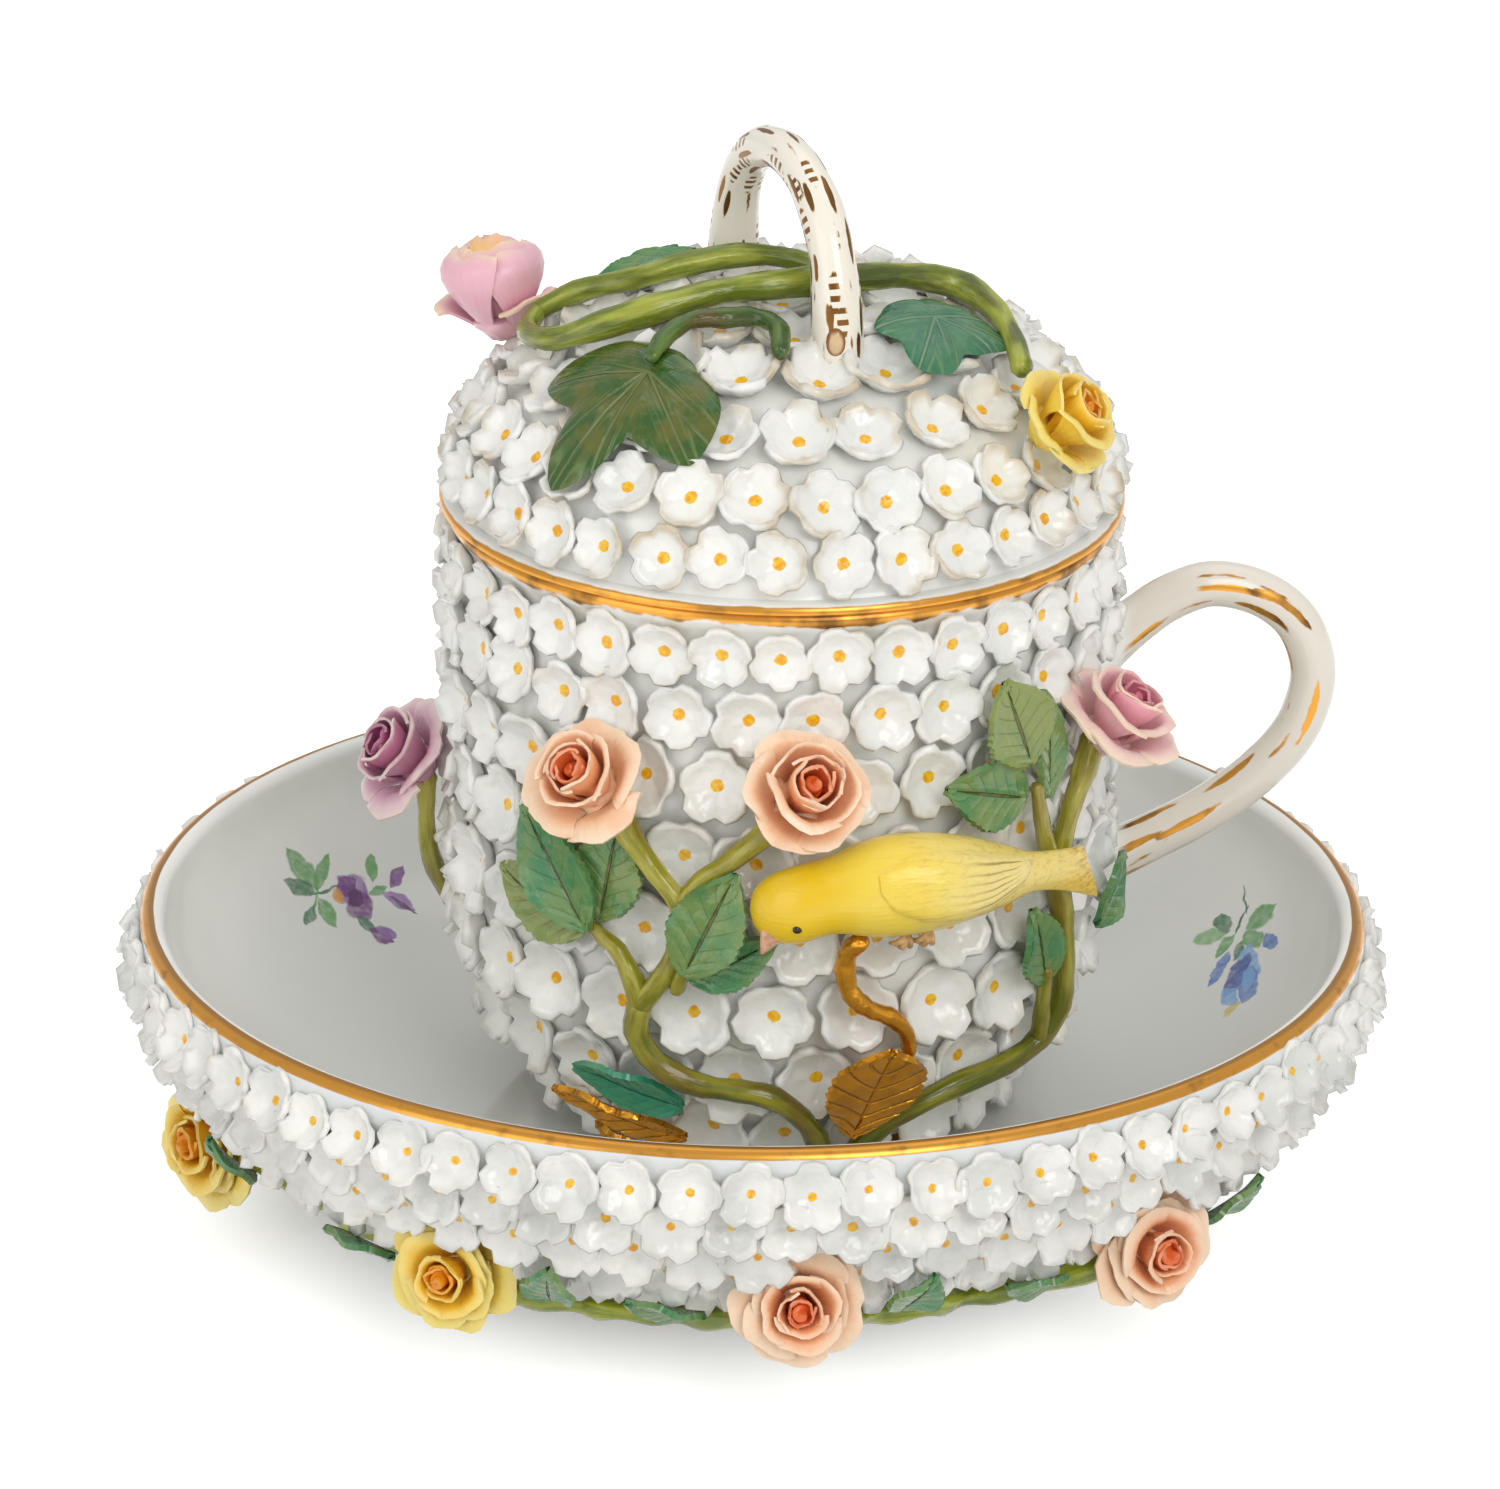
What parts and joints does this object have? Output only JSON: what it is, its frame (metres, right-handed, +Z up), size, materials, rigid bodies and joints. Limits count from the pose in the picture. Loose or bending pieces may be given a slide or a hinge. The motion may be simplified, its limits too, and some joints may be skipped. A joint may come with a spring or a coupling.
{
  "type": "covered cup and saucer",
  "caption": "Covered porcelain cup with loop handle on a deep saucer, encrusted with applied blossoms, rose sprays, leaves and a canary.",
  "frame": {"origin": "middle of the saucer's foot ring, on the plane that it stands on", "axes": "+Z up out of the cup, +X towards the cup's handle, -Y towards the viewer"},
  "size_m": [0.1628, 0.1626, 0.1447],
  "materials": {
    "porcelain": "clear glaze",
    "blossoms": "clear glaze",
    "stems": "enamel under gloss",
    "green_leaves": "enamel under gloss",
    "teal_leaves": "enamel under gloss",
    "gilding": "burnished gilding",
    "peach_roses": "soft enamel",
    "yellow_roses": "soft enamel",
    "pink_roses": "soft enamel",
    "mauve_rose": "soft enamel",
    "canary": "enamel under gloss"
  },
  "bodies": {
    "root": {"saucer": "porcelain", "cup": "porcelain", "lid": "porcelain", "saucer_blossoms": "blossoms", "cup_blossoms": "blossoms", "lid_blossoms": "blossoms", "left_rose_branch": "stems", "right_rose_branch": "stems", "side_rose_branch": "stems", "gilt_twig": "gilding", "peach_rose_left": "peach_roses", "peach_rose_middle": "peach_roses", "pink_rose_right": "pink_roses", "mauve_rose_side": "mauve_rose", "left_leaves": "green_leaves", "middle_leaves": "green_leaves", "upper_right_leaves": "green_leaves", "lower_right_leaves": "green_leaves", "teal_leaf": "teal_leaves", "gilt_low_leaves": "gilding", "gilt_leaf": "gilding", "canary": "canary", "lid_vine": "stems", "lid_leaf_stem": "green_leaves", "lid_front_leaf": "green_leaves", "lid_right_leaf": "teal_leaves", "lid_back_leaves": "green_leaves", "lid_pink_rose": "pink_roses", "lid_yellow_rose": "yellow_roses", "saucer_vine": "stems", "saucer_leaves": "green_leaves", "saucer_yellow_roses": "yellow_roses", "saucer_peach_roses": "peach_roses"}
  },
  "joints": []
}
